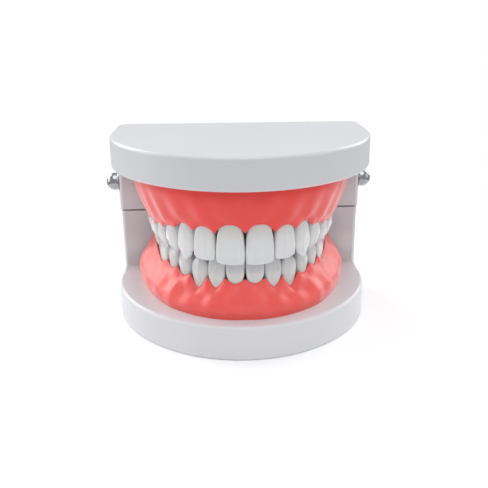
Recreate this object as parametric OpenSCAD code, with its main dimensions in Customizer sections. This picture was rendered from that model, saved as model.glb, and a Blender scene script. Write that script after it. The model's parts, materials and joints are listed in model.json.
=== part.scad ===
// Hinged dental teaching model: two white bases, pink gums and separate teeth on a steel hinge rod.
// Millimetres. The origin is the centre of the footprint. The front is -Y and up is +Z.

/* [Bases] */
// Width of the upper base
upper_w = 80; // [74:0.2:96]
// Width of the lower base
lower_w = 79.4; // [74:0.2:96]
// Depth of both bases, front to rear
base_l = 61; // [56:0.5:74]
// Length of the straight sides, from the rear face
straight_l = 18; // [12:0.5:24]
// How much tighter the front curve is than half of the width
front_squash = 4.5; // [3:0.25:8]
// Radius of the upright rear corners
corner_r = 3; // [1:0.25:4]
// Thickness of the upper plate
upper_t = 9.25; // [6:0.25:14]
// Thickness of the lower plate
lower_t = 10; // [6:0.25:14]
// Wall left around the hollows moulded into the bases
wall = 2.4; // [1.6:0.1:3]
// Thickness of the ribs under the lower base
rib_t = 1.6; // [1:0.1:2.4]

/* [Jaws] */
// Height of the bite plane above the lower plate
lower_jaw_h = 17; // [15:0.25:21]
// Height of the upper plate's underside above the bite plane
upper_jaw_h = 20.95; // [18:0.25:26]
// Upper base edge to the outer face of the upper molars
upper_arch_inset = 9.9; // [8:0.1:12]
// Lower base edge to the outer face of the lower molars
lower_arch_inset = 10.5; // [8:0.1:12]
// Front of the base to the front of the upper teeth
upper_front_inset = 5.3; // [4:0.1:8]
// Front of the base to the front of the lower teeth
lower_front_inset = 7.1; // [6:0.1:10]
// Depth that each root goes into the gum
root_l = 5.5; // [3:0.25:6.5]
// Gap between a tooth and its socket
socket_gap = 0.05; // [0.02:0.01:0.1]
// Gap between neighbouring teeth
contact_gap = 0.12; // [0.06:0.02:0.3]
// Thickness of the roof of the palate
palate_t = 6; // [4:0.5:9]

/* [Hinge] */
// Height of the rear wall's shoulders above the lower plate
shoulder_h = 19.5; // [17:0.25:22]
// Gap between the shoulders and the ears that rest over them
seam_gap = 0.4; // [0.3:0.05:1]
// Depth of the rear wall and of the ears
post_d = 9.2; // [8:0.1:12]
// Width of each ear of the upper base
ear_w = 12; // [9:0.5:16]
// Rounding of the ears' outer front corner
post_r = 1.6; // [0.5:0.1:2.5]
// Side gap between the ears and the knuckle
ear_gap = 0.4; // [0.3:0.05:1]
// Hinge axis above the bottom of the ears
axis_up = 8.8; // [7.5:0.1:10]
// Hinge axis in front of the rear face
axis_in = 4.9; // [4:0.1:6]
// Radius of the knuckle's round top
knuckle_r = 6.5; // [5:0.1:7]
// Radius of the hinge rod
rod_r = 1.5; // [1:0.05:2]
// Radial running clearance of the rod
rod_fit = 0.05; // [0.02:0.01:0.1]
// Radius of the domes of the push-on caps
dome_r = 2.9; // [2.4:0.1:3.4]
// Radius of the flared rim of the push-on caps
cap_flange_r = 3.5; // [3.5:0.1:4.2]
// Height of the push-on caps
cap_h = 4.5; // [4:0.1:5.5]
// Wall of the push-on caps
cap_wall = 0.4; // [0.3:0.05:0.6]
// Thickness of the lock rings inside the caps
ring_t = 0.5; // [0.3:0.05:0.6]

/* [Screws] */
// Radius of the gum screws
screw_r = 1.25; // [1:0.05:1.6]
// Radius of the gum screws' heads
head_r = 2.6; // [2.2:0.1:3.2]
// Height of the gum screws' heads
head_h = 1.8; // [1.2:0.1:2.4]
// Depth that the screws reach into the part they hold
screw_bite = 4.5; // [3:0.25:5]
// Gap around the screws where they pass through
screw_fit = 0.15; // [0.05:0.05:0.4]

/* [Hidden] */
$fn = 64;
overcut = 1;
rear_y = base_l / 2;
front_y = -base_l / 2;
bite_z = lower_t + lower_jaw_h;
under_z = bite_z + upper_jaw_h;
top_z = under_z + upper_t;
shoulder_z = lower_t + shoulder_h;
ear_z = shoulder_z + seam_gap;
axis_y = rear_y - axis_in;
axis_z = ear_z + axis_up;
wall_y = rear_y - post_d;
ear_x = upper_w / 2 - ear_w;
knuckle_x = ear_x - ear_gap;
sweep_gap = 0.6;
upper_gum_rear = axis_y - knuckle_r - sweep_gap;
lower_gum_rear = wall_y - sweep_gap;
molar_cover = 2.5;

// One row per tooth from the midline back: width, depth, reach past the bite plane,
// height of the gum line from the bite plane, and height of the gum between it and the next tooth
tooth_names = ["central_incisor", "lateral_incisor", "canine", "first_premolar",
    "second_premolar", "first_molar", "second_molar"];
upper_teeth = [
    [8.5, 7.0, 0.7, 10.7, 8.0],
    [7.15, 6.2, -0.1, 9.8, 8.0],
    [7.2, 7.9, 1.2, 9.6, 7.4],
    [7.0, 8.8, 0.5, 7.4, 5.9],
    [6.8, 8.8, 0.4, 6.4, 5.0],
    [10.0, 10.6, 0.4, 5.8, 4.4],
    [9.5, 10.4, 0.3, 5.0, 4.2]];
lower_teeth = [
    [5.9, 5.8, 0.7, 7.0, 5.6],
    [5.8, 6.1, 0.7, 9.0, 6.3],
    [7.0, 7.4, 0.4, 10.2, 6.8],
    [7.0, 7.6, -0.7, 8.2, 6.4],
    [7.1, 8.0, -0.7, 7.8, 6.4],
    [11.0, 10.2, -0.7, 8.4, 6.8],
    [10.5, 10.0, -0.7, 5.6, 4.4]];
front_teeth = 3;
slice_t = 0.1;
midline_papilla = [8.3, 5.4];
rear_drop = [1.5, -0.4];

// Values of the two arches, upper first: half width, front, depth, squareness, last tooth's rear
// face, first row of teeth, height of the jaw, rear of the gum, flare at the front and the sides
arch_half = [upper_w / 2 - upper_arch_inset, lower_w / 2 - lower_arch_inset];
arch_front = [front_y + upper_front_inset, front_y + lower_front_inset];
arch_end = [upper_gum_rear - molar_cover, lower_gum_rear - molar_cover];
arch_overrun = [2.6, 6.3];
arch_power = [2.05, 1.89];
arch_depth = [for (j = [0, 1]) arch_end[j] + arch_overrun[j] - arch_front[j]];
teeth_of = [upper_teeth, lower_teeth];
jaw_h = [upper_jaw_h, lower_jaw_h];
gum_rear = [upper_gum_rear, lower_gum_rear];
front_flare = [1.6, 1.9];
side_flare = [4.2, 5.0];
flare_run = [24, 22];

function arch_xy(j, t) = [
    arch_half[j] * pow(abs(sin(t)), 2 / arch_power[j]),
    arch_front[j] + arch_depth[j] * (1 - pow(abs(cos(t)), 2 / arch_power[j]))];
function arch_steps(j) = [for (i = [1:90]) norm(arch_xy(j, i) - arch_xy(j, i - 1))];
function sum_to(list, n) = n <= 0 ? 0 : list[n - 1] + sum_to(list, n - 1);
arch_table = [for (j = [0, 1]) let (steps = arch_steps(j)) [for (i = [0:90]) [sum_to(steps, i), i]]];
end_table = [for (j = [0, 1]) [for (i = [0:90]) [arch_xy(j, i)[1], arch_table[j][i][0]]]];
half_length = [for (j = [0, 1]) lookup(arch_end[j], end_table[j])];
widths = [for (j = [0, 1]) let (row = [for (t = teeth_of[j]) t[0]])
    row * half_length[j] / sum_to(row, len(row))];
function arch_at(j, s) = arch_xy(j, lookup(s, arch_table[j]));
function arch_angle(j, s) = let (d = arch_at(j, s + 0.3) - arch_at(j, s - 0.3))
    s <= 0 ? 0 : atan2(d[1], d[0]);
function tooth_start(j, i) = sum_to(widths[j], i);
function tooth_middle(j, i) = tooth_start(j, i) + widths[j][i] / 2;
// Distance from a tooth's middle line to its neighbour on one side, at depth y into the mouth
function tooth_side(j, i, end, y) = let (s = tooth_start(j, i + end), c = tooth_middle(j, i),
    a = arch_angle(j, c), q = arch_at(j, s) - arch_at(j, c), turn = arch_angle(j, s) - a)
    abs(q[0] * cos(a) + q[1] * sin(a) - (y - q[1] * cos(a) + q[0] * sin(a)) * tan(turn));

jaw_names = ["upper", "lower"];
side_names = ["left", "right"];
function tooth_node(j, side, i) = str(jaw_names[j], "_", side_names[side], "_", tooth_names[i]);
tooth_nodes = [for (j = [0, 1], side = [0, 1], i = [0:len(tooth_names) - 1]) tooth_node(j, side, i)];

// Screws of each gum: across and along the model. The upper ones stand in the palate.
upper_screws = [[0, arch_front[0] + 15], [-12, wall_y - 12], [12, wall_y - 12]];
lower_screws = [[0, arch_front[1] + 4.5], [-arch_half[1] + 4.5, 2], [arch_half[1] - 4.5, 2]];

white = "whitesmoke";
pink = "salmon";
enamel = "ivory";
steel = "silver";

// Outline of a base plate of half width w, drawn in by inset all round: straight sides,
// two side arcs and a front arc that meet tangentially
module plate_outline(w, inset) {
    reach = base_l - straight_l;
    nose_r = w - front_squash;
    side_r = (w * w + (reach - nose_r) * (reach - nose_r) - nose_r * nose_r) / (2 * (w - nose_r));
    side_c = [w - side_r, rear_y - straight_l];
    nose_c = [0, front_y + nose_r];
    way = (nose_c - side_c) / norm(nose_c - side_c);
    meet = side_c + way * (side_r - inset);
    edge = w - inset;
    meet_angle = atan2(-way[1], way[0]);
    corner_x = edge;
    corner_y = side_c[1] - (side_r - inset) * tan(meet_angle / 2);
    back = rear_y - inset;
    round_r = max(0.5, corner_r - inset);
    half = [[edge - round_r, back], [edge, back - round_r], [edge, side_c[1]], meet];
    polygon(concat(half, [for (k = [3:-1:0]) [-half[k][0], half[k][1]]]));
    for (m = [0, 1]) mirror([m, 0]) {
        translate([edge - round_r, back - round_r]) circle(r = round_r);
        intersection() {
            translate(side_c) circle(r = side_r - inset, $fn = 128);
            polygon([[edge - 1, side_c[1]], [edge, side_c[1]], [corner_x, corner_y], meet]);
        }
    }
    intersection() {
        translate(nose_c) circle(r = nose_r - inset, $fn = 128);
        translate([-w, front_y - overcut]) square([2 * w, meet[1] - front_y + 3 * overcut]);
    }
}

// Outline of one post on the +X side, from x0 out to the edge w
module post_outline(w, x0) {
    polygon([[x0, rear_y], [w - corner_r, rear_y], [w, rear_y - corner_r], [w, wall_y + post_r],
        [w - post_r, wall_y], [x0, wall_y]]);
    translate([w - corner_r, rear_y - corner_r]) circle(r = corner_r);
    translate([w - post_r, wall_y + post_r]) circle(r = post_r);
}

module along_hinge(r, from_x, to_x, sides = $fn) {
    translate([from_x, axis_y, axis_z]) rotate([0, 90, 0]) cylinder(r = r, h = to_x - from_x, $fn = sides);
}

module lower_base() {
    rib_x = arch_half[1] / 2;
    color(white) difference() {
        union() {
            linear_extrude(lower_t) plate_outline(lower_w / 2, 0);
            for (m = [0, 1]) mirror([m, 0, 0]) translate([0, 0, lower_t - overcut])
                linear_extrude(shoulder_h + overcut) post_outline(lower_w / 2, -overcut);
            translate([-knuckle_x, wall_y, shoulder_z - overcut])
                cube([2 * knuckle_x, post_d, axis_z - shoulder_z + overcut]);
            intersection() {
                along_hinge(knuckle_r, -knuckle_x, knuckle_x);
                translate([-knuckle_x, wall_y, axis_z - overcut])
                    cube([2 * knuckle_x, post_d, knuckle_r + 2 * overcut]);
            }
        }
        difference() {
            translate([0, 0, -overcut]) linear_extrude(lower_t - wall + overcut) plate_outline(lower_w / 2, wall);
            for (x = [-rib_x, rib_x]) translate([x - rib_t / 2, front_y, rib_t])
                cube([rib_t, base_l, lower_t]);
        }
        translate([rib_t + wall - lower_w / 2, wall_y + wall, lower_t - wall - overcut])
            cube([lower_w - 2 * (wall + rib_t), post_d - 2 * wall, shoulder_h]);
        along_hinge(rod_r + rod_fit, -upper_w, upper_w);
        for (p = lower_screws) translate([p[0], p[1], 0]) cylinder(r = screw_r + screw_fit, h = 2 * lower_t);
    }
}

module upper_base() {
    color(white) difference() {
        union() {
            translate([0, 0, under_z]) linear_extrude(upper_t) plate_outline(upper_w / 2, 0);
            for (m = [0, 1]) mirror([m, 0, 0]) translate([0, 0, ear_z])
                linear_extrude(under_z - ear_z + overcut) post_outline(upper_w / 2, ear_x);
        }
        difference() {
            translate([-upper_w, axis_y, ear_z - overcut]) cube([2 * upper_w, base_l, axis_up + overcut]);
            along_hinge(axis_up, -upper_w - overcut, upper_w + overcut, 128);
        }
        difference() {
            translate([0, 0, under_z - overcut]) linear_extrude(upper_t - wall + overcut)
                intersection() {
                    plate_outline(upper_w / 2, upper_arch_inset);
                    translate([-upper_w, front_y]) square([2 * upper_w, upper_gum_rear - wall - front_y]);
                }
            for (p = upper_screws) translate([p[0], p[1], under_z - 2 * overcut])
                cylinder(r = head_r + wall / 2, h = upper_t + 2 * overcut);
        }
        for (p = upper_screws) translate([p[0], p[1], under_z - overcut])
            cylinder(r = screw_r, h = screw_bite + 2 * overcut);
        along_hinge(rod_r + rod_fit, -upper_w, upper_w);
    }
}

// Slice of a tooth at height h, d deep behind its outer face at y0: it is rounded and fills
// a share of the room between the tooth's neighbours
module slice(j, i, grow, share, d, y0, h) {
    outline = [for (a = [0:15:345]) let (u = sign(cos(a)) * pow(abs(cos(a)), 0.72),
        y = y0 + d / 2 + sign(sin(a)) * pow(abs(sin(a)), 0.72) * d / 2,
        reach = tooth_side(j, i, u < 0 ? 0 : 1, y) - contact_gap / 2 + grow)
        [share * u * reach, y]];
    translate([0, 0, h]) linear_extrude(slice_t) polygon(outline);
}

// Tooth i of jaw j in its own place: y points into the mouth and z away from the bite plane
module tooth_form(j, i, grow) {
    d = teeth_of[j][i][1];
    edge_h = -teeth_of[j][i][2];
    neck_h = teeth_of[j][i][3];
    crown_h = neck_h - edge_h;
    root_h = neck_h + root_l;
    neck_w = i < front_teeth ? 0.8 : 0.86;
    neck_d = i < front_teeth ? 0.95 : 0.9;
    lean = j == 1 && i < front_teeth ? 1.1 : 0.15;
    if (i < front_teeth) {
        hull() {
            slice(j, i, grow, 0.92, 1.4, lean, edge_h);
            slice(j, i, grow, 1, 0.42 * d, lean * 0.6, edge_h + 0.3 * crown_h);
            slice(j, i, grow, neck_w, neck_d * d + 2 * grow, 0.3 - grow, neck_h);
        }
    } else {
        hull() {
            slice(j, i, grow, 0.8, 0.62 * d, 0.17 * d, edge_h);
            slice(j, i, grow, 1, 0.97 * d, 0, edge_h + 0.45 * crown_h);
            slice(j, i, grow, neck_w, neck_d * d + 2 * grow, 0.3 - grow, neck_h);
        }
    }
    hull() {
        slice(j, i, grow, neck_w, neck_d * d + 2 * grow, 0.3 - grow, neck_h);
        slice(j, i, grow, 0.5, 0.5 * d + 2 * grow, 0.25 * d - grow, root_h + grow);
    }
}

// Turns a jaw's own heights, measured from the bite plane, into the model's
module in_jaw(j) {
    translate([0, 0, bite_z]) mirror([0, 0, j]) children();
}

module tooth_place(j, side, i) {
    s = tooth_middle(j, i);
    p = arch_at(j, s);
    mirror([side, 0, 0]) in_jaw(j) translate([p[0], p[1], 0]) rotate(arch_angle(j, s)) children();
}

module tooth(j, side, i) {
    color(enamel) tooth_place(j, side, i) tooth_form(j, i, 0);
}

// Ball of a gum at arch length s, moved out of the arch by out and at height h
module bead(j, s, out, h, r) {
    p = arch_at(j, s);
    a = arch_angle(j, s);
    translate([p[0] + out * sin(a), p[1] - out * cos(a), h]) sphere(r = r, $fn = 14);
}

// One cross-section of a gum: its foot on the base, its bulge over the root and its rim at the teeth
module gum_section(j, s, rim_h, depth, bulge) {
    flare = front_flare[j] + (side_flare[j] - front_flare[j]) * min(1, s / flare_run[j]);
    foot_h = jaw_h[j];
    bead(j, s, flare - 0.8, foot_h, 1);
    bead(j, s, 0.55 * flare - 0.6 + bulge, 0.5 * (foot_h + rim_h), 1);
    bead(j, s, -0.4, rim_h + 0.8, 0.8);
    bead(j, s, -depth - 0.2, rim_h + 1.6, 0.8);
    bead(j, s, -depth - 1.6, foot_h, 1);
}

// Heights and places of the sections of half a gum, from the midline to behind the last molar
function gum_stations(j) = concat(
    [[0, midline_papilla[j], teeth_of[j][0][1], 0]],
    [for (i = [0:len(tooth_names) - 1], end = [0, 1]) let (t = teeth_of[j][i])
        [tooth_start(j, i) + widths[j][i] * (end + 1) / 2, end ? t[4] : t[3], t[1], end ? 0 : 0.7]]);

module gum_block(j) {
    stations = gum_stations(j);
    last = stations[len(stations) - 1];
    behind = [last[0] + molar_cover, last[1] + rear_drop[j], last[2] - 1, 0];
    all = concat(stations, [behind]);
    for (m = [0, 1], k = [1:len(all) - 1]) mirror([m, 0, 0]) hull() {
        for (q = [all[k - 1], all[k]]) gum_section(j, q[0], q[1], q[2], q[3]);
    }
    if (j == 0) hull() {
        for (m = [0, 1], q = all) mirror([m, 0, 0])
            bead(j, q[0], -q[2], jaw_h[j] - palate_t + 1, 1);
        for (m = [0, 1], q = all) mirror([m, 0, 0]) bead(j, q[0], -q[2], jaw_h[j], 1);
    }
}

module gum(j, screws, hole_r) {
    color(pink) difference() {
        in_jaw(j) gum_block(j);
        in_jaw(j) translate([-upper_w, -base_l, jaw_h[j]]) cube([2 * upper_w, 2 * base_l, jaw_h[j]]);
        translate([-upper_w, gum_rear[j], 0]) cube([2 * upper_w, base_l, top_z]);
        for (side = [0, 1], i = [0:len(tooth_names) - 1]) tooth_place(j, side, i) tooth_form(j, i, socket_gap);
        for (p = screws) in_jaw(j) translate([p[0], p[1], jaw_h[j] - screw_bite])
            cylinder(r = hole_r, h = screw_bite + overcut, $fn = 32);
        if (j == 0) for (p = screws) in_jaw(j) translate([p[0], p[1], 0]) {
            cylinder(r = hole_r, h = jaw_h[j] + overcut, $fn = 32);
            cylinder(r = head_r + screw_fit, h = jaw_h[j] - palate_t / 2, $fn = 32);
        }
    }
}

module lower_gum() {
    gum(1, lower_screws, screw_r);
}

module upper_gum() {
    gum(0, upper_screws, screw_r + screw_fit);
}

module hinge_rod() {
    reach = upper_w / 2 + cap_h / 2;
    color(steel) along_hinge(rod_r, -reach, reach);
}

// Places a turned piece on both ends of the hinge, with its base on the ear
module on_ears() {
    for (m = [0, 1]) mirror([m, 0, 0]) translate([upper_w / 2, axis_y, axis_z]) rotate([0, 90, 0])
        rotate_extrude() children();
}

module dome_caps() {
    dome_y = cap_h - dome_r;
    flare = cap_flange_r - dome_r;
    inner_r = dome_r - cap_wall;
    color(steel) on_ears() difference() {
        union() {
            intersection() {
                translate([0, dome_y]) circle(r = dome_r);
                square([dome_r, cap_h]);
            }
            square([dome_r, dome_y]);
            difference() {
                square([cap_flange_r, cap_wall / 2 + flare]);
                translate([cap_flange_r, cap_wall / 2 + flare]) circle(r = flare);
            }
        }
        intersection() {
            translate([0, dome_y]) circle(r = inner_r);
            square([inner_r, cap_h]);
        }
        translate([-overcut, -overcut]) square([inner_r + overcut, dome_y + overcut]);
    }
}

module lock_rings() {
    color(steel) on_ears() translate([rod_r + rod_fit, cap_wall / 2])
        square([dome_r - cap_wall - rod_r - 2 * rod_fit, ring_t]);
}

// One screw standing on its head, with the head's underside at z = 0
module screw(l) {
    color(steel) difference() {
        union() {
            translate([0, 0, -head_h]) cylinder(r = head_r, h = head_h);
            cylinder(r = screw_r - screw_fit / 3, h = l);
        }
        for (a = [0, 90]) rotate(a) translate([-head_r * 0.7, -0.3, -head_h - overcut])
            cube([head_r * 1.4, 0.6, overcut + head_h / 2]);
    }
}

module lower_gum_screws() {
    for (p = lower_screws) translate([p[0], p[1], lower_t - wall]) screw(wall + screw_bite - 0.3);
}

module upper_gum_screws() {
    for (p = upper_screws) translate([p[0], p[1], under_z - palate_t / 2]) screw(palate_t / 2 + screw_bite);
}

lower_base();
upper_base();
lower_gum();
upper_gum();
hinge_rod();
dome_caps();
lock_rings();
lower_gum_screws();
upper_gum_screws();
for (j = [0, 1], side = [0, 1], i = [0:len(tooth_names) - 1])
    tooth(j, side, i);
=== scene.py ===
import json
import math
from collections import namedtuple
import bmesh
import bpy
from mathutils import Euler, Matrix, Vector, noise


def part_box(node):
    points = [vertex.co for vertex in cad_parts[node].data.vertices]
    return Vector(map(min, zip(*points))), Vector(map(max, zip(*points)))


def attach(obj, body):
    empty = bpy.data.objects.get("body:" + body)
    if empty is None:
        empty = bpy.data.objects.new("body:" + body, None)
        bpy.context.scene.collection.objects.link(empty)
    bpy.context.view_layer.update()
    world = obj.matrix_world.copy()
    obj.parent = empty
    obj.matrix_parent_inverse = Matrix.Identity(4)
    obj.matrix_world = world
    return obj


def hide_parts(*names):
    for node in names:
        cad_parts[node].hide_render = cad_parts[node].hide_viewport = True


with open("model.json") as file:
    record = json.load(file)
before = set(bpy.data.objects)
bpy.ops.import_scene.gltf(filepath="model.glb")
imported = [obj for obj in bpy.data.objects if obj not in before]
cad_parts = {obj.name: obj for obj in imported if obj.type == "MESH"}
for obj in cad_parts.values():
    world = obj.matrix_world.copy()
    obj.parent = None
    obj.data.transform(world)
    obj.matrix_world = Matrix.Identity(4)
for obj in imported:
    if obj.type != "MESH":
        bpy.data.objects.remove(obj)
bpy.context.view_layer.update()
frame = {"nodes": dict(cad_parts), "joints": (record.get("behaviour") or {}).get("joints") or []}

mm = 0.001  # everything below is modelled in millimetres and scaled once, in finishPiece


def boxOf(node):
    low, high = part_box(node)
    return low / mm, high / mm


upperLow, upperHigh = boxOf("upper_base")
lowerLow, lowerHigh = boxOf("lower_base")
hingeAt = Vector(frame["joints"][0]["pos_m"]) / mm
frontY, rearY = lowerLow.y, lowerHigh.y
plateTopZ = boxOf("lower_gum")[0].z  # top of the lower plate
underZ = boxOf("upper_gum")[1].z     # underside of the upper one
layout = {
    "biteUp": 17,        # bite plane above the lower plate
    "upperInset": 9.9,   # edge of the upper base to the outer face of its molars
    "lowerInset": 10.5,
    "upperFront": 5.3,   # front of the upper base to its front teeth
    "lowerFront": 7.1,
    "cover": 2.5,        # gum behind the last molar
    "rearGap": 0.6,      # gum to the wall or knuckle behind it
}
biteZ = plateTopZ + layout["biteUp"]
print("frame loaded:", len(frame["nodes"]), "nodes")


# small helpers

def mix(a, b, t):
    return a + (b - a) * t


def ease(t):
    t = min(1.0, max(0.0, t))
    return t * t * (3 - 2 * t)


def bell(x, width):
    return math.exp(-(x / width) ** 2)


def through(stops, t):
    # value at t on a smooth line through (t, value) stops that doesn't overshoot them
    if t <= stops[0][0]:
        return stops[0][1]
    if t >= stops[-1][0]:
        return stops[-1][1]
    k = next(k for k in range(len(stops) - 1) if t <= stops[k + 1][0])

    def rise(k):
        (t0, v0), (t1, v1) = stops[k], stops[k + 1]
        return (v1 - v0) / (t1 - t0)

    def slope(k):
        if k == 0 or k == len(stops) - 1:
            return rise(min(k, len(stops) - 2))
        before, after = rise(k - 1), rise(k)
        return 0 if before * after <= 0 else 2 * before * after / (before + after)

    (t0, v0), (t1, v1) = stops[k], stops[k + 1]
    f = (t - t0) / (t1 - t0)
    curve = f * (1 - f) * ((1 - f) * (slope(k) - rise(k)) - f * (slope(k + 1) - rise(k)))
    return mix(v0, v1, f) + curve * (t1 - t0)


def catmull(points, t):
    # point at t on a Catmull-Rom spline, t counting the points
    k = min(int(t), len(points) - 2)
    f = t - k
    p0, p1 = points[max(k - 1, 0)], points[k]
    p2, p3 = points[k + 1], points[min(k + 2, len(points) - 1)]
    a = 2 * p1 + (p2 - p0) * f
    b = (2 * p0 - 5 * p1 + 4 * p2 - p3) * f ** 2
    return 0.5 * (a + b + (3 * p1 - p0 - 3 * p2 + p3) * f ** 3)


def addFinish(piece, kind, **settings):
    modifier = piece.modifiers.new(kind.title(), kind)
    for key, value in settings.items():
        setattr(modifier, key, value)


def finishPiece(bm, name, body, material, replaces):
    # a bmesh in millimetres becomes a named piece that rides on its body
    bmesh.ops.recalc_face_normals(bm, faces=bm.faces[:])
    bmesh.ops.scale(bm, vec=(mm, mm, mm), verts=bm.verts[:])
    mesh = bpy.data.meshes.new(name)
    bm.to_mesh(mesh)
    bm.free()
    piece = bpy.data.objects.new(name, mesh)
    bpy.context.scene.collection.objects.link(piece)
    mesh.materials.append(material)
    for face in mesh.polygons:
        face.use_smooth = True
    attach(piece, body)
    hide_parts(*replaces)
    return piece


def withCorners(faces):
    parts = set(faces)
    for face in faces:
        parts.update(face.edges)
        parts.update(face.verts)
    return list(parts)


def pull(bm, faces, move):
    # extrudes faces together and moves the new ones
    made = bmesh.ops.extrude_face_region(bm, geom=withCorners(faces))["geom"]
    corners = [part for part in made if isinstance(part, bmesh.types.BMVert)]
    bmesh.ops.translate(bm, verts=corners, vec=move)
    return [part for part in made if isinstance(part, bmesh.types.BMFace)]


def slit(bm, faces, at, across):
    # cuts faces along a plane and gives back the pieces
    cut = bmesh.ops.bisect_plane(bm, geom=withCorners(faces), plane_co=at, plane_no=across, dist=1e-4)
    return [part for part in cut["geom"] if isinstance(part, bmesh.types.BMFace)]


# shader maths: a Wire is one socket, and a Paint is one material

class Wire:
    def __init__(self, paint, socket):
        self.paint = paint
        self.socket = socket

    def math(self, operation, first, second):
        return self.paint.add("ShaderNodeMath", {"operation": operation}, {0: first, 1: second})

    def __add__(self, other):
        return self.math("ADD", self, other)

    def __sub__(self, other):
        return self.math("SUBTRACT", self, other)

    def __mul__(self, other):
        return self.math("MULTIPLY", self, other)


class Paint:
    def __init__(self, name, settings):
        self.material = bpy.data.materials.new(name)
        self.material.use_nodes = True
        self.tree = self.material.node_tree
        self.shader = self.tree.nodes["Principled BSDF"]
        for key, value in settings.items():
            self.set(key, value)

    def set(self, socket, value):
        if isinstance(value, Wire):
            self.tree.links.new(value.socket, self.shader.inputs[socket])
        else:
            self.shader.inputs[socket].default_value = value

    def add(self, kind, settings, inputs, output=0):
        node = self.tree.nodes.new(kind)
        for key, value in settings.items():
            if key == "stops":
                ramp = node.color_ramp.elements
                while len(ramp) < len(value):
                    ramp.new(0.5)
                for stop, (place, colour) in zip(ramp, value):
                    stop.position = place
                    stop.color = (*colour, 1)
            else:
                setattr(node, key, value)
        for key, value in inputs.items():
            if isinstance(value, Wire):
                self.tree.links.new(value.socket, node.inputs[key])
            else:
                node.inputs[key].default_value = value
        return Wire(self, node.outputs[output])

    def place(self, stretch=(1, 1, 1)):
        spot = self.add("ShaderNodeTexCoord", {}, {}, "Object")
        return self.add("ShaderNodeMapping", {}, {"Vector": spot, "Scale": stretch})

    def height(self):
        spot = self.add("ShaderNodeTexCoord", {}, {}, "Object")
        return self.add("ShaderNodeSeparateXYZ", {}, {0: spot}, "Z")

    def cloud(self, scale, detail=2, roughness=0.5, stretch=(1, 1, 1)):
        return self.add("ShaderNodeTexNoise", {}, {"Vector": self.place(stretch), "Scale": scale,
                        "Detail": detail, "Roughness": roughness})

    def ramp(self, amount, stops):
        return self.add("ShaderNodeValToRGB", {"stops": stops}, {0: amount})

    def blend(self, amount, first, second):
        return self.add("ShaderNodeMix", {"data_type": "RGBA"}, {0: amount, 6: first, 7: second}, 2)

    def bump(self, height, strength, distance):
        self.set("Normal", self.add("ShaderNodeBump", {}, {"Height": height, "Strength": strength,
                 "Distance": distance}))


def rgb(r, g, b):
    return (r, g, b, 1)


def whitePlasticPaint():
    look = {"light": rgb(0.66, 0.665, 0.69), "dim": rgb(0.61, 0.612, 0.632), "gloss": 0.3}
    paint = Paint("whitePlastic", {"Coat Weight": 0.15, "Coat Roughness": 0.12})
    flow = paint.cloud(28, 3)
    grain = paint.cloud(2600, 2, 0.6)
    paint.set("Base Color", paint.blend(flow, look["dim"], look["light"]))
    paint.set("Roughness", flow * 0.1 + grain * 0.05 + (look["gloss"] - 0.07))
    paint.bump(grain * 0.6 + flow, 0.12, 0.00006)
    return paint.material


def gumPaint(name, deep, light):
    paint = Paint(name, {"Coat Weight": 0.15, "Coat Roughness": 0.25, "Sheen Weight": 0.5,
                         "Sheen Roughness": 0.4, "Subsurface Weight": 0.1,
                         "Subsurface Radius": (0.9, 0.3, 0.2), "Subsurface Scale": 0.0012})
    mottle = paint.cloud(90, 2, 0.5)
    stipple = paint.cloud(1500, 2, 0.5)
    paint.set("Base Color", paint.blend(mottle, deep, light))
    paint.set("Roughness", mottle * 0.1 + 0.36)
    paint.bump(stipple, 0.08, 0.00005)
    return paint.material


def enamelPaint(name, neckZ, edgeZ, toneAndPaintedShade):
    # warmer at the neck, cooler and clearer towards the biting edge
    look = {"neck": (0.74, 0.72, 0.68), "body": (0.79, 0.80, 0.80), "edge": (0.74, 0.77, 0.81)}
    # all three colours are darkened evenly by this factor; the lower teeth's smaller factor is painted shade
    neck, body, edge = ([toneAndPaintedShade * c for c in colour] for colour in look.values())
    paint = Paint(name, {"Coat Weight": 0.6, "Coat Roughness": 0.08, "Subsurface Weight": 0.3,
                         "Subsurface Radius": (0.8, 0.7, 0.65), "Subsurface Scale": 0.0015})
    along = paint.add("ShaderNodeMapRange", {}, {"Value": paint.height(), "From Min": neckZ * mm,
                      "From Max": edgeZ * mm, "To Min": 0, "To Max": 1})
    streak = paint.cloud(900, 2, 0.5, (1, 1, 0.18))
    shade = along + (streak - 0.5) * 0.22
    paint.set("Base Color", paint.ramp(shade, [(0, neck), (0.35, body), (0.8, body), (1, edge)]))
    paint.set("Roughness", streak * 0.08 + 0.17)
    paint.bump(streak, 0.25, 0.00006)
    return paint.material


def metalPaint(name, colour, roughness, brush):
    paint = Paint(name, {"Metallic": 1.0})
    scratch = paint.cloud(1800, 3, 0.6, (1, brush, brush))
    paint.set("Base Color", paint.blend(scratch, rgb(*[c * 0.88 for c in colour]), rgb(*colour)))
    paint.set("Roughness", scratch * roughness + roughness * 0.5)
    paint.bump(scratch, 0.1, 0.00004)
    return paint.material


whitePlastic = whitePlasticPaint()
# one gum colour in two copies: the upper gum's deeper red is painted shade from the upper plate over it, and
# the lower gum's paler pink is painted sheen
upperPinkWithPaintedShade = gumPaint("upperGumPink", rgb(0.80, 0.032, 0.024), rgb(0.86, 0.055, 0.045))
lowerPinkWithPaintedSheen = gumPaint("lowerGumPink", rgb(0.81, 0.068, 0.056), rgb(0.87, 0.11, 0.098))
# the lower teeth get a darker tone than the upper ones: painted shade on them, not a different enamel
upperEnamel = enamelPaint("upperEnamel", biteZ + 10, biteZ, 0.87)
lowerEnamel = enamelPaint("lowerEnamel", biteZ - 8, biteZ, 0.78)
chrome = metalPaint("chromeCap", (0.38, 0.39, 0.41), 0.1, 1)
steel = metalPaint("screwSteel", (0.62, 0.62, 0.64), 0.3, 6)
print("materials ready")


# the two white bases

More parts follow.
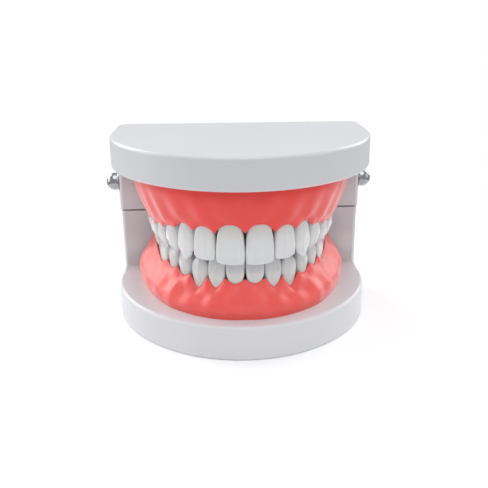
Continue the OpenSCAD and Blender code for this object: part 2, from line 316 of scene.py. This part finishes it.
base = {
    "straight": 18,     # straight part of each side, from the rear
    "squash": 4.5,      # how much tighter the nose is than half of the width
    "corner": 3,        # radius of the rear corners, and the number of their flats
    "cornerSteps": 8,
    "post": 9.2,        # depth of the rear wall and ears
    "ear": 12,          # width of an ear
    "earGap": 0.4,      # ear to knuckle
    "postCorner": 1.6,  # outer front corner of the ears and shoulders
    "knuckle": 6.5,     # radius of the knuckle's top
    "edge": 1.0,        # rounding of the edges that show
    "under": 0.7,       # rounding under the upper plate
    "seamEdge": 0.35,   # rounding where the two bases meet
    "foot": 0.5,        # rounding of the bottom edge
    "sharp": 34,        # degrees between two faces that make an edge sharp
    "wall": 2.4,        # around the hollow underside
    "rib": 1.6,         # thickness and height of the ribs in it
    "seam": 0.4,        # gap between the ears and the shoulders
}
wallY = rearY - base["post"]
shoulderZ = upperLow.z - base["seam"]
swing = hingeAt.z - upperLow.z  # the ears' lower rear corner is turned about the hinge at this radius


def plateOutline(bm, half, z):
    # half of the outline is spun from a few points, then mirrored and filled
    reach = (rearY - frontY) - base["straight"]
    nose = half - base["squash"]
    side = (half ** 2 + (reach - nose) ** 2 - nose ** 2) / (2 * (half - nose))
    sideAt = Vector((half - side, rearY - base["straight"], z))
    noseAt = Vector((0, frontY + nose, z))
    way = (noseAt - sideAt).normalized()
    turn = math.atan2(way.y, way.x)
    corner = base["corner"]

    def arc(corners, centre, angle, steps):
        made = bmesh.ops.spin(bm, geom=corners, cent=centre, axis=(0, 0, 1), angle=angle, steps=steps)
        return [part for part in made["geom_last"] if isinstance(part, bmesh.types.BMVert)]

    hip = bm.verts.new((half, sideAt.y, z))
    tangent = arc([hip], sideAt, turn, 26)
    arc(tangent, noseAt, -math.pi / 2 - turn, 22)
    cheek = bm.verts.new((half, rearY - corner, z))
    bm.edges.new((hip, cheek))
    back = arc([cheek], (half - corner, rearY - corner, z), math.pi / 2, base["cornerSteps"])
    bm.edges.new((back[0], bm.verts.new((0, rearY, z))))
    bmesh.ops.mirror(bm, geom=bm.verts[:] + bm.edges[:], axis="X", merge_dist=1e-3)
    return bmesh.ops.contextual_create(bm, geom=bm.edges[:])["faces"]


def weigh(bm, radius, chosen):
    # gives chosen sharp outer edges their bevel radius, as a share of the largest one
    layer = bm.edges.layers.float.get("bevel_weight_edge") or bm.edges.layers.float.new("bevel_weight_edge")
    for edge in bm.edges:
        if edge.is_convex and edge.calc_face_angle(0) > math.radians(base["sharp"]):
            middle = (edge.verts[0].co + edge.verts[1].co) / 2
            if chosen(Vector((abs(middle.x), middle.y, middle.z))):
                edge[layer] = radius / base["postCorner"]


def near(a, b):
    # whether two places are the same to within a few hundredths of a millimetre
    return abs(a - b) < 0.02


def creaseRest(bm):
    # edges that aren't bevelled stay crisp
    layer = bm.edges.layers.float["bevel_weight_edge"]
    for edge in bm.edges:
        if edge[layer] == 0 and edge.calc_face_angle(0) > math.radians(base["sharp"]):
            edge.smooth = False


def bevelEdges(piece):
    addFinish(piece, "BEVEL", width=base["postCorner"] * mm, segments=5, limit_method="WEIGHT",
              use_clamp_overlap=False)
    addFinish(piece, "WEIGHTED_NORMAL", keep_sharp=True, weight=90)


def isAt(face, x=None, y=None, z=None):
    # whether the middle of a face passes the tests given for its coordinates
    middle = face.calc_center_median()
    tests = ((x, abs(middle.x)), (y, middle.y), (z, middle.z))
    return all(test is None or test(value) for test, value in tests)


def makeUpperBase():
    half = upperHigh.x
    earX = half - base["ear"]
    bm = bmesh.new()
    faces = plateOutline(bm, half, underZ)
    faces = slit(bm, faces, (0, wallY, underZ), (0, 1, 0))
    strip = [face for face in faces if isAt(face, y=lambda v: v > wallY)]
    for x in (-earX, earX):
        strip = slit(bm, strip, (x, 0, underZ), (1, 0, 0))
    pull(bm, bm.faces[:], (0, 0, upperHigh.z - underZ))
    ears = [face for face in bm.faces if isAt(
        face, x=lambda v: v > earX, y=lambda v: v > wallY, z=lambda v: near(v, underZ))]
    cuts = [-0.72, -0.48, -0.24]  # in front of the rounded rear corner, then at the corner's own points
    cuts += [math.sin(math.radians(90 * k / base["cornerSteps"])) for k in range(4)]
    for cut in cuts:
        ears = slit(bm, ears, (0, rearY - base["corner"] + base["corner"] * cut, underZ), (0, 1, 0))
    pull(bm, ears, (0, 0, upperLow.z - underZ))
    for v in bm.verts:
        if near(v.co.z, upperLow.z) and v.co.y > hingeAt.y:
            v.co.z = hingeAt.z - math.sqrt(swing ** 2 - (v.co.y - hingeAt.y) ** 2)
    bmesh.ops.recalc_face_normals(bm, faces=bm.faces[:])
    weigh(bm, base["edge"], lambda p: near(p.z, upperHigh.z))
    weigh(bm, base["under"], lambda p: near(p.z, underZ) and p.y < wallY)
    weigh(bm, base["seamEdge"], lambda p: p.z < hingeAt.z - 0.5 or near(p.x, earX))
    weigh(bm, base["postCorner"], lambda p: near(p.x, half) and near(p.y, wallY) and p.z < underZ)
    creaseRest(bm)
    piece = finishPiece(bm, "upperBase", "upper_model", whitePlastic, ["upper_base"])
    bevelEdges(piece)


def makeLowerBase():
    half = lowerHigh.x
    knuckleX = upperHigh.x - base["ear"] - base["earGap"]
    bm = bmesh.new()
    pull(bm, plateOutline(bm, half, 0), (0, 0, plateTopZ))
    top = [face for face in bm.faces if isAt(face, z=lambda v: near(v, plateTopZ))]
    top = slit(bm, top, (0, wallY, plateTopZ), (0, 1, 0))
    wall = [face for face in top if isAt(face, y=lambda v: v > wallY)]
    wall = pull(bm, wall, (0, 0, shoulderZ - plateTopZ))
    for x in (-knuckleX, knuckleX):
        wall = slit(bm, wall, (x, 0, shoulderZ), (1, 0, 0))
    knuckle = [face for face in wall if isAt(face, x=lambda v: v < knuckleX)]
    steps = 12
    for k in range(1, steps):
        knuckle = slit(bm, knuckle, (0, mix(wallY, rearY, k / steps), shoulderZ), (0, 1, 0))
    crown = pull(bm, knuckle, (0, 0, hingeAt.z - shoulderZ))
    for v in set(v for face in crown for v in face.verts):
        v.co.z = hingeAt.z + math.sqrt(base["knuckle"] ** 2 - (v.co.y - hingeAt.y) ** 2)
    bmesh.ops.recalc_face_normals(bm, faces=bm.faces[:])
    weigh(bm, base["seamEdge"], lambda p: p.z > shoulderZ - 0.01 or near(p.x, knuckleX))
    weigh(bm, base["edge"], lambda p: near(p.z, plateTopZ) and p.y < wallY)
    weigh(bm, base["foot"], lambda p: near(p.z, 0))
    weigh(bm, base["postCorner"], lambda p: near(p.x, half) and near(p.y, wallY))
    # hollow underside with two ribs
    bottom = [face for face in bm.faces if isAt(face, z=lambda v: near(v, 0))]
    bmesh.ops.inset_region(bm, faces=bottom, thickness=base["wall"], use_even_offset=True)
    ribX = (half - layout["lowerInset"]) / 2
    pockets = bottom
    for x in (-ribX, ribX):
        for edge in (-base["rib"] / 2, base["rib"] / 2):
            pockets = slit(bm, pockets, (x + edge, 0, 0), (1, 0, 0))
    ribs = [face for face in pockets if isAt(face, x=lambda v: abs(v - ribX) < base["rib"] / 2)]
    pockets = [face for face in pockets if face not in ribs]
    for rib in ribs:
        pull(bm, [rib], (0, 0, base["rib"]))
    for pocket in pockets:
        roof = pull(bm, [pocket], (0, 0, plateTopZ - base["wall"]))
        roof = slit(bm, roof, (0, wallY + base["wall"], 0), (0, 1, 0))
        deep = [face for face in roof if isAt(face, y=lambda v: v > wallY + base["wall"])]
        pull(bm, deep, (0, 0, shoulderZ - plateTopZ))
    creaseRest(bm)
    piece = finishPiece(bm, "lowerBase", "lower_model", whitePlastic, ["lower_base"])
    bevelEdges(piece)


makeUpperBase()
makeLowerBase()
print("bases made")


# bright push-on caps on the ends of the hinge rod

cap = {"dome": 2.9, "rim": 3.5, "tall": 4.5, "lip": 0.22, "turns": 56}


def makeDomeCaps():
    bm = bmesh.new()
    domeY = cap["tall"] - cap["dome"]
    flare = cap["rim"] - cap["dome"] + 0.12
    profile = [(0, 0), (cap["rim"] - 0.1, 0), (cap["rim"], 0.08), (cap["rim"], cap["lip"])]
    for k in range(1, 8):  # hollow curve from the rim up to the neck
        a = math.radians(90 * k / 8)
        profile.append((cap["rim"] - flare * math.sin(a), cap["lip"] + flare * (1 - math.cos(a))))
    start = math.asin((cap["lip"] + flare - domeY) / cap["dome"])
    for k in range(1, 21):
        a = mix(start, math.pi / 2, k / 20)
        profile.append((cap["dome"] * math.cos(a), domeY + cap["dome"] * math.sin(a)))
    x0 = upperHigh.x
    line = [bm.verts.new((x0 + y, hingeAt.y, hingeAt.z + r)) for r, y in profile]
    edges = [bm.edges.new(pair) for pair in zip(line, line[1:])]
    bmesh.ops.spin(bm, geom=line + edges, cent=(x0, hingeAt.y, hingeAt.z), axis=(1, 0, 0),
                   angle=2 * math.pi, steps=cap["turns"], use_merge=True)
    bmesh.ops.remove_doubles(bm, verts=bm.verts[:], dist=1e-3)
    bmesh.ops.mirror(bm, geom=bm.verts[:] + bm.edges[:] + bm.faces[:], axis="X", merge_dist=0)
    finishPiece(bm, "domeCaps", "upper_model", chrome, ["dome_caps"])


makeDomeCaps()
print("caps made")


# the two arches: teeth and gums follow the same curve

toothNames = ["central_incisor", "lateral_incisor", "canine", "first_premolar", "second_premolar",
              "first_molar", "second_molar"]
Tooth = namedtuple("Tooth", "width depth reach line papilla scallop")
clearOfKnuckle = hingeAt.y - base["knuckle"] - layout["rearGap"]
clearOfWall = wallY - layout["rearGap"]
upperJaw = {
    "name": "upper", "body": "upper_model", "up": 1, "tall": underZ - biteZ,
    "enamel": upperEnamel, "pink": upperPinkWithPaintedShade,
    "half": upperHigh.x - layout["upperInset"], "front": frontY + layout["upperFront"],
    "end": clearOfKnuckle - layout["cover"], "overrun": 2.6,  # the curve's last point and how far it runs on
    "power": 2.05, "rear": clearOfKnuckle,
    "flare": (1.6, 4.2, 24),  # how far the gum's foot stands out in front and at the side, and over what length
    "full": (0.93, 0.66, 0.12), "bulge": 0.45, "drop": 1.2,
    # width, depth, reach past the bite, gum line, gum between it and the next tooth, gum line's curve
    "teeth": [(8.5, 7.0, 0.7, 10.7, 8.0, 2.3), (7.15, 6.2, -0.1, 9.8, 8.0, 1.6), (7.2, 7.9, 1.2, 9.6, 7.4, 1.6),
              (7.0, 8.8, 0.5, 7.4, 5.9, 1.7), (6.8, 8.8, 0.4, 6.4, 5.0, 1.7), (10.0, 10.6, 0.4, 5.8, 4.4, 2),
              (9.5, 10.4, 0.3, 5.0, 4.2, 2)],
    "midline": 8.3,
}
lowerJaw = {
    "name": "lower", "body": "lower_model", "up": -1, "tall": biteZ - plateTopZ,
    "enamel": lowerEnamel, "pink": lowerPinkWithPaintedSheen,
    "half": lowerHigh.x - layout["lowerInset"], "front": frontY + layout["lowerFront"],
    "end": clearOfWall - layout["cover"], "overrun": 6.3,
    "power": 1.89, "rear": clearOfWall,
    "flare": (1.9, 5.0, 22),
    "full": (0.98, 0.84, 0.32), "bulge": 0.55, "drop": -0.4,
    "teeth": [(5.9, 5.8, 0.7, 7.0, 5.6, 1.7), (5.8, 6.1, 0.7, 9.0, 6.3, 1.25), (7.0, 7.4, 0.4, 10.2, 6.8, 1.3),
              (7.0, 7.6, -0.7, 8.2, 6.4, 1.5), (7.1, 8.0, -0.7, 7.8, 6.4, 1.6), (11.0, 10.2, -0.7, 8.4, 6.8, 2),
              (10.5, 10.0, -0.7, 5.6, 4.4, 2)],
    "midline": 5.6,
}


toothFinish = {
    "gap": 0.015,    # from a tooth's side to the plane between it and its neighbour
    "buried": 2.5,   # depth of the root in the gum
    "cuts": 13,      # cuts across the cube
    "waver": 0.06,   # unevenness of the surface
}


class Arch:
    # one jaw's curve, measured by length from the midline
    def __init__(self, jaw):
        self.jaw = jaw
        self.teeth = [Tooth(*row) for row in jaw["teeth"]]
        self.deep = jaw["end"] + jaw["overrun"] - jaw["front"]
        count = 400
        self.table = [self.raw(90 * k / count) for k in range(count + 1)]
        self.lengths = [0]
        for a, b in zip(self.table, self.table[1:]):
            self.lengths.append(self.lengths[-1] + (b - a).length)
        self.usable = next(length for length, p in zip(self.lengths, self.table) if p.y >= jaw["end"])
        self.whole = self.usable + layout["cover"]
        widths = [tooth.width for tooth in self.teeth]
        self.widths = [w * self.usable / sum(widths) for w in widths]
        self.starts = [sum(self.widths[:k]) for k in range(len(widths) + 1)]
        self.centres = [mix(a, b, 0.5) for a, b in zip(self.starts, self.starts[1:])]

    def raw(self, degrees):
        t, power = math.radians(degrees), 2 / self.jaw["power"]
        x = self.jaw["half"] * abs(math.sin(t)) ** power
        return Vector((x, self.jaw["front"] + self.deep * (1 - abs(math.cos(t)) ** power), 0))

    def at(self, s):
        s = min(max(s, 0), self.lengths[-1] * 0.9999)
        low, high = 0, len(self.lengths) - 1
        while high - low > 1:
            middle = (low + high) // 2
            if self.lengths[middle] <= s:
                low = middle
            else:
                high = middle
        share = (s - self.lengths[low]) / (self.lengths[high] - self.lengths[low])
        return self.table[low].lerp(self.table[high], share)

    def heading(self, s):
        # direction along the arch; the outward direction is this turned a quarter to the right
        if s < 1e-3:
            return Vector((1, 0, 0))
        return (self.at(s + 0.25) - self.at(s - 0.25)).normalized()

    def point(self, s, out, h):
        # a point on station s (negative on the other side), out from the arch and h from the bite plane
        side = -1 if s < 0 else 1
        along = self.heading(abs(s))
        p = self.at(abs(s)) + Vector((along.y, -along.x, 0)) * out
        return Vector((p.x * side, p.y, biteZ + self.jaw["up"] * h))

    def sideOf(self, i, end, y):
        # distance from a tooth's middle line to its neighbour, at depth y into the mouth
        s, c = self.starts[i + end], self.centres[i]
        along = self.heading(c)
        away = self.at(s) - self.at(c)
        across, deep = away.dot(along), away.dot(Vector((-along.y, along.x, 0)))
        beside = self.heading(s)
        turn = math.atan2(beside.y, beside.x) - math.atan2(along.y, along.x)
        return abs(across - (y - deep) * math.tan(turn)) - toothFinish["gap"]

    def blendOf(self, s, column):
        # one of the teeth's sizes, run smoothly from tooth to tooth
        return through(list(zip(self.centres, [getattr(tooth, column) for tooth in self.teeth])), s)

    def inTooth(self, s):
        # which tooth stands at s, and where in it from -1 (front) to 1
        for i, (a, b) in enumerate(zip(self.starts, self.starts[1:])):
            if s <= b or i == len(self.widths) - 1:
                return i, (s - mix(a, b, 0.5)) / ((b - a) / 2)

    def gumLine(self, s):
        i, x = self.inTooth(s)
        tooth = self.teeth[i]
        before = self.teeth[i - 1].papilla if i else self.jaw["midline"]
        papilla = before if x < 0 else tooth.papilla
        return mix(tooth.line, papilla, min(1, abs(x)) ** tooth.scallop)


# gums: a grid laid over the arch, from the outer foot over the rim at the teeth and into the mouth

gum = {
    "stations": 380,
    "columns": 5,       # grid columns between two control points
    "lip": 0.3,         # how far the rim stands proud of a tooth's neck
    "embrasure": 0.5,   # how deep the gum sinks between the teeth
    "neckShare": 0.84,  # width of a tooth's neck over the tooth's own width
    "roof": 6,          # thickness of the roof of the palate
}


def gumSection(arch, s):
    # control points of one section, as steps out from the arch and heights from the bite plane
    jaw = arch.jaw
    a = abs(s)
    tall = jaw["tall"]
    i, x = arch.inTooth(a)
    line = arch.gumLine(a) + jaw["drop"] * ease((a - arch.usable) / layout["cover"])
    depth = arch.blendOf(a, "depth")
    front, side, run = jaw["flare"]
    foot, middle, top = jaw["full"]  # share of the flare at three heights
    flare = mix(front, side, min(1, a / run))
    ridge = jaw["bulge"] * (math.cos(math.pi * min(1, abs(x)) / 2) ** 2 - 0.5)
    coarse = (arch.blendOf(a, "line") + arch.blendOf(a, "papilla")) / 2
    neck = min(abs(x) / gum["neckShare"], 0.999)
    recess = 0.3 + depth / 2 * (1 - math.sqrt(1 - neck ** 2))
    rim = gum["lip"] - min(gum["embrasure"], recess)
    inner = arch.blendOf(a, "line") * 0.9 + (0 if jaw["up"] > 0 else 0.4) - 0.9 * abs(x) ** 2
    outline = [
        # the foot, then up the outer side and over the roots
        (flare, tall), (flare + 0.02, tall - 0.5),
        (flare * foot + 0.3 + ridge * 0.3, mix(coarse, tall, 0.8)),
        (flare * middle + 0.5 + ridge, mix(coarse, tall, 0.57)),
        (0.7 + flare * top + ridge * 0.9 + rim * 0.3, coarse + 3.2),
        # the rim round the neck of the tooth
        (rim + 0.27, line + 0.6), (rim, line), (rim - 0.4, line + 0.25), (rim - 1.0, line + 1.3),
        # under the tooth and over the inner rim
        (-depth / 2, line + 2.0), (-depth + 0.7, inner + 1.2), (-depth - 0.15, inner),
        (-depth - 0.8, inner + 1.2)]
    return outline, depth, inner


def gumPoints(arch, s):
    # the section's points in place, carried on down the inner side or over the palate to the middle
    jaw = arch.jaw
    tall = jaw["tall"]
    outline, depth, inner = gumSection(arch, s)
    points = [arch.point(s, out, h) for out, h in outline]
    if jaw["up"] < 0:
        points += [arch.point(s, -depth - 1.5, mix(inner, tall, 0.5)), arch.point(s, -depth - 2.0, tall - 0.5),
                   arch.point(s, -depth - 2.1, tall)]
    else:
        roof = tall - gum["roof"]
        middleY = mix(jaw["front"] + 11.5, jaw["rear"], abs(s) / arch.whole)
        middle = Vector((0, middleY, biteZ + roof))
        slope = arch.point(s, -depth - 2.2, mix(inner, roof, 0.5))
        shoulder = arch.point(s, -depth - 4.5, mix(inner, roof, 0.86))
        points += [slope, shoulder, shoulder.lerp(middle, 0.45) + Vector((0, 0, 0.12 * roof * 0.5)), middle]
    return points


def rugae(p):
    # low ridges across the front of the palate
    lift = 0
    for k in range(4):
        lift += bell(p.y + 13 - 3.1 * k - 0.22 * abs(p.x) + 0.5 * math.sin(p.x * 0.8), 0.7)
    return 0.38 * lift * ease((abs(p.x) - 0.8) / 1.5) * ease((13 - abs(p.x)) / 5) * ease((2 - p.y) / 5)


def closeUpperGum(bm, footZ):
    # one straight edge across the rear parts the flat top from the rear face
    foot = [v for v in bm.verts if v.is_boundary and abs(v.co.z - footZ) < 1e-3]
    left = max(foot, key=lambda v: (v.co.y, -v.co.x))
    right = max(foot, key=lambda v: (v.co.y, v.co.x))
    bm.edges.new((left, right))
    bmesh.ops.holes_fill(bm, edges=bm.edges[:], sides=0)


def makeGum(arch):
    jaw = arch.jaw
    count = len(gumPoints(arch, 0)) - 1
    columns = count * gum["columns"]
    bm = bmesh.new()
    grid = bmesh.ops.create_grid(bm, x_segments=gum["stations"], y_segments=columns, size=0.5)
    rows = {}
    for v in grid["verts"]:
        rows.setdefault(round((v.co.x + 0.5) * gum["stations"]), []).append(v)
    for row, corners in rows.items():
        s = arch.whole * (2 * row / gum["stations"] - 1)
        points = gumPoints(arch, s if abs(s) > 1e-6 else 0)
        for v in corners:
            v.co = catmull(points, (v.co.y + 0.5) * count)
    for v in bm.verts:
        v.co.y = min(v.co.y, jaw["rear"])
        sway = noise.noise(v.co * 0.2) * 0.1
        if jaw["up"] > 0 and v.co.z > biteZ + jaw["tall"] - gum["roof"] - 4.5:
            v.co.z -= rugae(v.co)
        if abs(v.co.z - biteZ) < jaw["tall"] - 0.6:
            v.co += Vector((v.co.x, v.co.y - 5, 0)).normalized() * sway
    bmesh.ops.remove_doubles(bm, verts=bm.verts[:], dist=1e-3)
    footZ = biteZ + jaw["up"] * jaw["tall"]
    if jaw["up"] > 0:
        closeUpperGum(bm, footZ)
    else:
        foot = [edge for edge in bm.edges if edge.is_boundary and all(
            abs(v.co.z - footZ) < 1e-3 for v in edge.verts)]
        bmesh.ops.bridge_loops(bm, edges=foot)
        bmesh.ops.holes_fill(bm, edges=bm.edges[:], sides=0)
    finishPiece(bm, jaw["name"] + "Gum", jaw["body"], jaw["pink"], [jaw["name"] + "_gum"])


arches = [Arch(upperJaw), Arch(lowerJaw)]
for arch in arches:
    makeGum(arch)
print("gums made")


# teeth: a finely cut cube drawn out to each tooth's own form

def toothForm(arch, i):
    # wide, outer and deep run from the biting edge (0) over the neck (1) and into the gum
    tooth = arch.teeth[i]
    depth = tooth.depth
    lean = 1.1 if arch.jaw["up"] < 0 and i < 3 else 0.15
    form = {"edge": -tooth.reach - (0.3 if i > 2 else 0.1), "neck": tooth.line,
            "root": tooth.line + toothFinish["buried"], "cusps": [], "furrow": 0}
    outerNeck = [(1, 0.28), (1.4, 0.8)]
    frontNeck = [(1, 0.93 * depth), (1.3, 0.8 * depth)]
    backNeck = [(0.6, 0.97 * depth), (1, 0.9 * depth), (1.3, 0.8 * depth)]
    if i < 2:  # incisors
        form.update(wide=[(0, 0.94), (0.25, 1.0), (0.6, 0.96), (1, 0.8), (1.3, 0.7)],
                    outer=[(0, lean), (0.35, lean * 0.4), (0.7, 0)] + outerNeck,
                    deep=[(0, 1.15), (0.3, 2.3), (0.6, 0.52 * depth)] + frontNeck,
                    square=0.75, face=0.5, corner=(0.4, 0.9), fall=(2.6, 2.4), lobes=0.06)
    elif i == 2:  # canine
        form.update(wide=[(0, 0.66), (0.2, 0.87), (0.42, 1.0), (0.7, 0.95), (1, 0.84), (1.3, 0.7)],
                    outer=[(0, lean + 0.35), (0.35, lean * 0.4), (0.7, 0)] + outerNeck,
                    deep=[(0, 1.3), (0.3, 2.8), (0.6, 0.56 * depth)] + frontNeck,
                    square=0.95, face=0.8, corner=(1.9, 2.4), fall=(1.6, 1.5), lobes=0.05)
    elif i < 5:  # premolars
        form.update(wide=[(0, 0.8), (0.16, 0.93), (0.4, 1.0), (0.7, 0.97), (1, 0.9), (1.3, 0.8)],
                    outer=[(0, 0.19 * depth), (0.25, 0.07 * depth), (0.6, 0)] + outerNeck,
                    deep=[(0, 0.58 * depth), (0.25, 0.84 * depth)] + backNeck,
                    square=0.8, face=0.9, spread=0.75, groove=1.5, lobes=0.05,
                    cusps=[(0, -0.72, 1.0), (0, 0.7, 0.7)])
    else:  # molars
        form.update(wide=[(0, 0.88), (0.14, 0.96), (0.4, 1.0), (0.7, 0.98), (1, 0.92), (1.3, 0.82)],
                    outer=[(0, 0.14 * depth), (0.22, 0.05 * depth), (0.6, 0)] + outerNeck,
                    deep=[(0, 0.68 * depth), (0.22, 0.88 * depth)] + backNeck,
                    square=0.62, face=0.9, spread=0.55, groove=1.4, furrow=0.3, lobes=0.1,
                    cusps=[(-0.5, -0.7, 1.0), (0.48, -0.7, 0.92), (-0.48, 0.66, 0.85), (0.5, 0.64, 0.75)])
    return form


def shapeTooth(arch, i, form, c):
    # c is a point of the cube from -1 to 1; x runs back along the arch, y into the mouth
    run = (form["root"] - form["edge"]) / (form["neck"] - form["edge"])
    t = run * ((1 - c.z) / 2) ** 1.25
    k = form["square"]
    x = c.x * math.sqrt(1 - k * (form["face"] if c.y < 0 else 1) * c.y ** 2 / 2)
    y = c.y * math.sqrt(1 - k * c.x ** 2 / 2)
    wide, deep, outer = through(form["wide"], t), through(form["deep"], t), through(form["outer"], t)
    crown = form["neck"] - form["edge"]
    fade = ease(1 - t / 0.42)
    if form["cusps"]:
        peak = max(tall * bell(x - cx, form["spread"]) * bell(y - cy, 0.6) for cx, cy, tall in form["cusps"])
        sink = form["groove"] * (1 - peak) * fade * mix(0.4, 1, ease((y + 1) / 0.9))
    else:
        front, back = form["corner"]
        frontFall, backFall = form["fall"]
        sink = (front * abs(min(x, 0)) ** frontFall + back * max(x, 0) ** backFall) * fade
    outside = max(0, -c.y)
    lobes = form["lobes"] * (math.cos(3 * math.pi * x) - 0.3) * outside * ease((1.05 - t) / 0.5) * ease(t / 0.1)
    into = outer + deep / 2 * (1 + y) - lobes
    across = arch.sideOf(i, 1 if x > 0 else 0, into) * wide * x
    if abs(c.z) < 1:  # the upright furrow on the outer face of a molar
        into += form["furrow"] * bell(x, 0.16) * outside * ease(1 - t / 0.75)
    return across, into, form["edge"] + crown * t + sink


def makeTooth(arch, i, side):
    jaw = arch.jaw
    form = toothForm(arch, i)
    bm = bmesh.new()
    bmesh.ops.create_cube(bm, size=2)
    bmesh.ops.subdivide_edges(bm, edges=bm.edges[:], cuts=toothFinish["cuts"], use_grid_fill=True)
    s = arch.centres[i]
    at, along = arch.at(s), arch.heading(s)
    inward = Vector((-along.y, along.x, 0))
    seed = Vector((i * 3.1, jaw["up"] * 7.7, side * 5.3))
    for v in bm.verts:
        across, into, h = shapeTooth(arch, i, form, v.co)
        p = at + along * across + inward * into
        p += inward * noise.noise(Vector((across, into, h)) * 0.5 + seed) * toothFinish["waver"]
        v.co = Vector((p.x * side, p.y, biteZ + jaw["up"] * h))
    sideName = "left" if side > 0 else "right"
    name = f"{jaw['name']}_{sideName}_{toothNames[i]}"
    shown = jaw["name"] + sideName.title() + toothNames[i].title().replace("_", "")
    piece = finishPiece(bm, shown, jaw["body"], jaw["enamel"], [name])
    addFinish(piece, "SUBSURF", levels=1, render_levels=1)


for arch in arches:
    for i in range(len(toothNames)):
        for side in (1, -1):
            makeTooth(arch, i, side)
print("teeth made")


# steel pieces that keep their CAD shape

for node in ("hinge_rod", "lock_rings", "lower_gum_screws", "upper_gum_screws"):
    slots = frame["nodes"][node].data.materials
    slots.clear()
    slots.append(steel)


# stage, light and camera

def makeFloor():
    disc = {"radius": 0.13, "shade": 0.95}
    bm = bmesh.new()
    bmesh.ops.create_circle(bm, cap_ends=True, segments=64, radius=disc["radius"])
    mesh = bpy.data.meshes.new("floor")
    bm.to_mesh(mesh)
    bm.free()
    floor = bpy.data.objects.new("floor", mesh)
    bpy.context.scene.collection.objects.link(floor)
    paint = Paint("paleFloor", {"Base Color": rgb(*[disc["shade"]] * 3), "Roughness": 0.9})
    mesh.materials.append(paint.material)


suns = [  # name, azimuth from the front, elevation, strength, angle across
    ("topLight", 0, 86, 0.55, 60),
    ("frontTopLight", 0, 65, 0.75, 50),
    ("leftLight", -95, 12, 0.6, 40),
    ("rightLight", 75, 20, 0.3, 40),
    ("leftRearLight", -130, 25, 1.2, 40),
    ("rightRearLight", 130, 25, 0.9, 40),
]
sky = {"colour": (0.97, 0.98, 1), "strength": 0.57}


def makeLights():
    for name, azimuth, elevation, strength, angle in suns:
        lamp = bpy.data.lights.new(name, "SUN")
        lamp.energy = strength
        lamp.angle = math.radians(angle)
        sun = bpy.data.objects.new(name, lamp)
        bpy.context.scene.collection.objects.link(sun)
        a, e = math.radians(azimuth), math.radians(elevation)
        fromWhere = Vector((math.sin(a) * math.cos(e), -math.cos(a) * math.cos(e), math.sin(e)))
        sun.rotation_euler = fromWhere.to_track_quat("Z", "Y").to_euler()
    world = bpy.data.worlds.new("softWorld")
    bpy.context.scene.world = world
    world.use_nodes = True
    tree = world.node_tree
    soft = tree.nodes["Background"]
    soft.inputs[0].default_value = rgb(*sky["colour"])
    soft.inputs[1].default_value = sky["strength"]
    white = tree.nodes.new("ShaderNodeBackground")
    white.inputs[0].default_value = rgb(1, 1, 1)
    seen = tree.nodes.new("ShaderNodeLightPath")
    either = tree.nodes.new("ShaderNodeMixShader")  # white behind the model, soft grey on it
    tree.links.new(seen.outputs["Is Camera Ray"], either.inputs[0])
    tree.links.new(soft.outputs[0], either.inputs[1])
    tree.links.new(white.outputs[0], either.inputs[2])
    tree.links.new(either.outputs[0], tree.nodes["World Output"].inputs[0])


def makeCamera():
    view = {"place": (-6.57, -199.6, 90.38), "turn": (71.635, 0.473, -2.195), "lens": 50.16}
    lens = bpy.data.cameras.new("camera")
    lens.lens = view["lens"]
    lens.clip_start = 0.01
    camera = bpy.data.objects.new("camera", lens)
    bpy.context.scene.collection.objects.link(camera)
    camera.location = Vector(view["place"]) * mm
    camera.rotation_euler = Euler([math.radians(angle) for angle in view["turn"]])
    bpy.context.scene.camera = camera


makeFloor()
makeLights()
makeCamera()
bpy.context.scene.view_settings.view_transform = "Standard"
print("stage ready")

bpy.context.view_layer.update()
